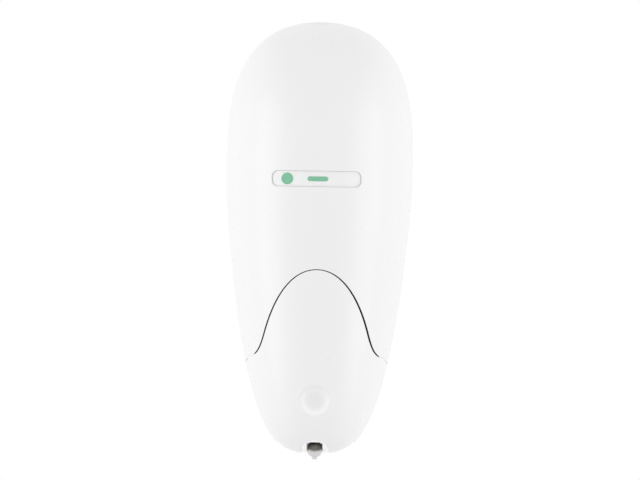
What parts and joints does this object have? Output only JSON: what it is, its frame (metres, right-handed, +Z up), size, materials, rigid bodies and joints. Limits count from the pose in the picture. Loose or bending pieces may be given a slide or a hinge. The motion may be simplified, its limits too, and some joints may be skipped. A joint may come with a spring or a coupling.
{
  "type": "wall mounted soap dispenser",
  "caption": "Wall mounted soap dispenser: egg-shaped white cover on a back plate, with a push lever that works a piston pump under an upside-down refill bottle.",
  "frame": {"origin": "centre of the four wall-screw holes, on the back plate's rear face", "axes": "+Z up along the height, +Y into the wall, -Y towards the user, +X to the user's right"},
  "size_m": [0.1228, 0.1049, 0.2881],
  "materials": {
    "white_cover": "glossy injection moulded white ABS",
    "white_lever": "glossy injection moulded white ABS",
    "bezel_white": "bright white glossy plastic rim of the spout notch",
    "inner_plastic": "satin moulded plastic of the inner parts",
    "label_white": null,
    "label_clear": "clear acrylic label window",
    "steel": "zinc plated and stainless steel",
    "lock_metal": "nickel plated lock",
    "bottle_plastic": "translucent polyethylene bottle",
    "cap_plastic": "white polypropylene cap and piston",
    "pump_plastic": "grey acetal pump",
    "silicone": "translucent silicone nozzle and valve",
    "rubber_dark": "black nitrile rubber"
  },
  "bodies": {
    "base": {"back_plate": "inner_plastic", "hinge_pin": "steel", "lock_keeper": "inner_plastic", "keeper_screws": "steel", "refill_cradle": "inner_plastic", "cradle_screws": "steel", "refill_bottle": "bottle_plastic", "bottle_cap": "cap_plastic", "cap_gasket": "rubber_dark", "pump_body": "pump_plastic", "pump_screws": "steel", "ball_cage": "cap_plastic", "outlet_valve": "silicone", "nozzle_teat": "silicone"},
    "cover": {"cover_shell": "white_cover", "label_card": "label_white", "label_window": "label_clear", "cover_frame": "inner_plastic", "frame_screws": "steel", "pivot_pins": "steel", "stop_bumpers": "rubber_dark", "lock_housing": "lock_metal", "lock_nut": "steel"},
    "lock": {"lock_plug": "lock_metal", "lock_cam": "steel", "cam_screw": "steel"},
    "lever": {"push_lever": "white_lever", "spout_bezel": "bezel_white", "lever_arms": "inner_plastic", "arm_screws": "steel", "presser_pad": "rubber_dark"},
    "piston": {"pump_piston": "cap_plastic", "piston_seal": "rubber_dark", "pump_spring": "steel"},
    "ball": {"inlet_ball": "steel"}
  },
  "joints": [
    {"name": "cover_hinge", "type": "hinge", "parent": "base", "child": "cover", "pos_m": [0, -0.012, -0.14], "axis": [1, 0, 0], "range_deg": [0, 85]},
    {"name": "lever_pivot", "type": "hinge", "parent": "cover", "child": "lever", "pos_m": [0, -0.05, -0.038], "axis": [1, 0, 0], "range_deg": [0, 5.5], "stiffness_Nm_per_rad": 6, "springref_deg": -2.86},
    {"name": "piston_slide", "type": "slide", "parent": "base", "child": "piston", "axis": [0, 1, 0], "range_m": [0, 0.0076], "deforming": ["pump_spring"]},
    {"name": "ball_lift", "type": "slide", "parent": "base", "child": "ball", "axis": [0, 0, 1], "range_m": [0, 0.001]},
    {"name": "lock_turn", "type": "hinge", "parent": "cover", "child": "lock", "pos_m": [0, -0.022, 0.12], "axis": [0, 0, -1], "range_deg": [0, 90]}
  ],
  "couplings": [
    {"joint": "piston_slide", "follows": "lever_pivot", "m_per_rad": 0.0785}
  ]
}
